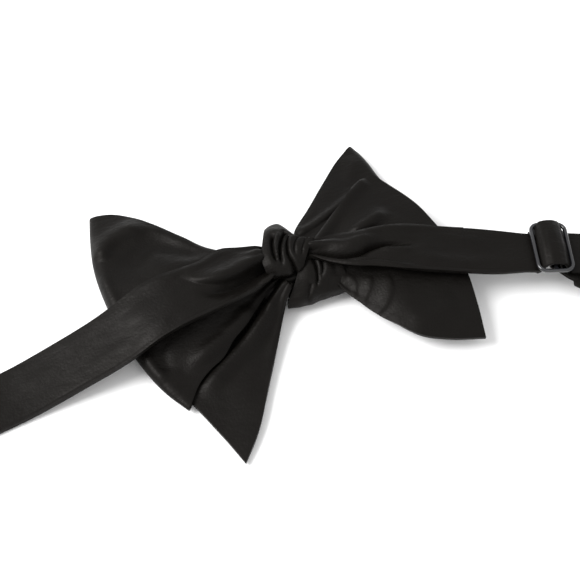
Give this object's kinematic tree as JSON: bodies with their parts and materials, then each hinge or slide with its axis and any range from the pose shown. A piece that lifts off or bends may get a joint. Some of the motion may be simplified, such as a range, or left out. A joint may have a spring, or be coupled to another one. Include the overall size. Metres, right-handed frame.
{
  "type": "self-tie bow tie",
  "caption": "Hand-tied butterfly bow tie in black satin with a slide-adjusted neck strap, lying face down with its hook and eye undone.",
  "frame": {"origin": "underside of the knot, where it rests on the table, at the middle of the bow", "axes": "+X along the bow towards the adjustable strap end, +Y up the height of the bow, +Z away from the table, towards the wearer's collar"},
  "size_m": [0.3989, 0.122, 0.02],
  "materials": {
    "black_satin": "duchess satin, soft sheen",
    "canvas_interlining": "woven, unbleached, matt",
    "black_thread": "sewing thread, matt",
    "black_metal": "black enamel, glossy"
  },
  "bodies": {
    "bow": {"front_tail_shell": "black_satin", "front_tail_interlining": "canvas_interlining", "front_loop_shell": "black_satin", "front_loop_interlining": "canvas_interlining", "back_loop_shell": "black_satin", "back_loop_interlining": "canvas_interlining", "back_tail_shell": "black_satin", "back_tail_interlining": "canvas_interlining", "knot_wrap": "black_satin", "knot_hitch": "black_satin", "front_waist": "black_satin", "back_waist": "black_satin", "left_strap_root": "black_satin", "right_strap_root": "black_satin"},
    "left_strap": {"left_strap_shell": "black_satin", "left_strap_interlining": "canvas_interlining", "eye_fold": "black_satin", "eye_bar_tack": "black_thread"},
    "eye": {"eye_ring": "black_metal"},
    "right_strap": {"right_strap_shell": "black_satin", "right_strap_interlining": "canvas_interlining"},
    "slide": {"slide_strap_crest": "black_satin", "slide_buckle": "black_metal", "slide_sewn_fold": "black_satin", "slide_bar_tack": "black_thread"},
    "hook_end": {"outer_strap_strand": "black_satin", "return_strap_strand": "black_satin", "hook_fold": "black_satin"},
    "hook": {"hook": "black_metal"}
  },
  "joints": [
    {"name": "left_strap_lift", "type": "hinge", "parent": "bow", "child": "left_strap", "pos_m": [-0.01411, 0.00066, 0.01615], "axis": [-0.23, 0.9732, 0], "range_deg": [0, 75]},
    {"name": "eye_swivel", "type": "hinge", "parent": "left_strap", "child": "eye", "pos_m": [-0.18101, -0.03879, 0.00235], "axis": [-0.23, 0.9732, 0], "range_deg": [0, 110]},
    {"name": "right_strap_lift", "type": "hinge", "parent": "bow", "child": "right_strap", "pos_m": [0.01137, 0.00308, 0.01579], "axis": [-0.2487, -0.9686, 0], "range_deg": [0, 75]},
    {"name": "slide_travel", "type": "slide", "parent": "right_strap", "child": "slide", "axis": [0.966, -0.248, -0.0727], "range_m": [-0.012, 0.06], "deforming": ["right_strap_shell", "right_strap_interlining"]},
    {"name": "strap_loop_follow", "type": "slide", "parent": "slide", "child": "hook_end", "axis": [0.966, -0.248, -0.0727], "range_m": [-0.031, 0.007], "deforming": ["outer_strap_strand", "return_strap_strand"]},
    {"name": "hook_swivel", "type": "hinge", "parent": "hook_end", "child": "hook", "pos_m": [0.18815, -0.04231, 0.00243], "axis": [-0.2487, -0.9686, 0], "range_deg": [0, 110]}
  ],
  "couplings": [
    {"joint": "strap_loop_follow", "follows": "slide_travel", "ratio": -0.5}
  ]
}
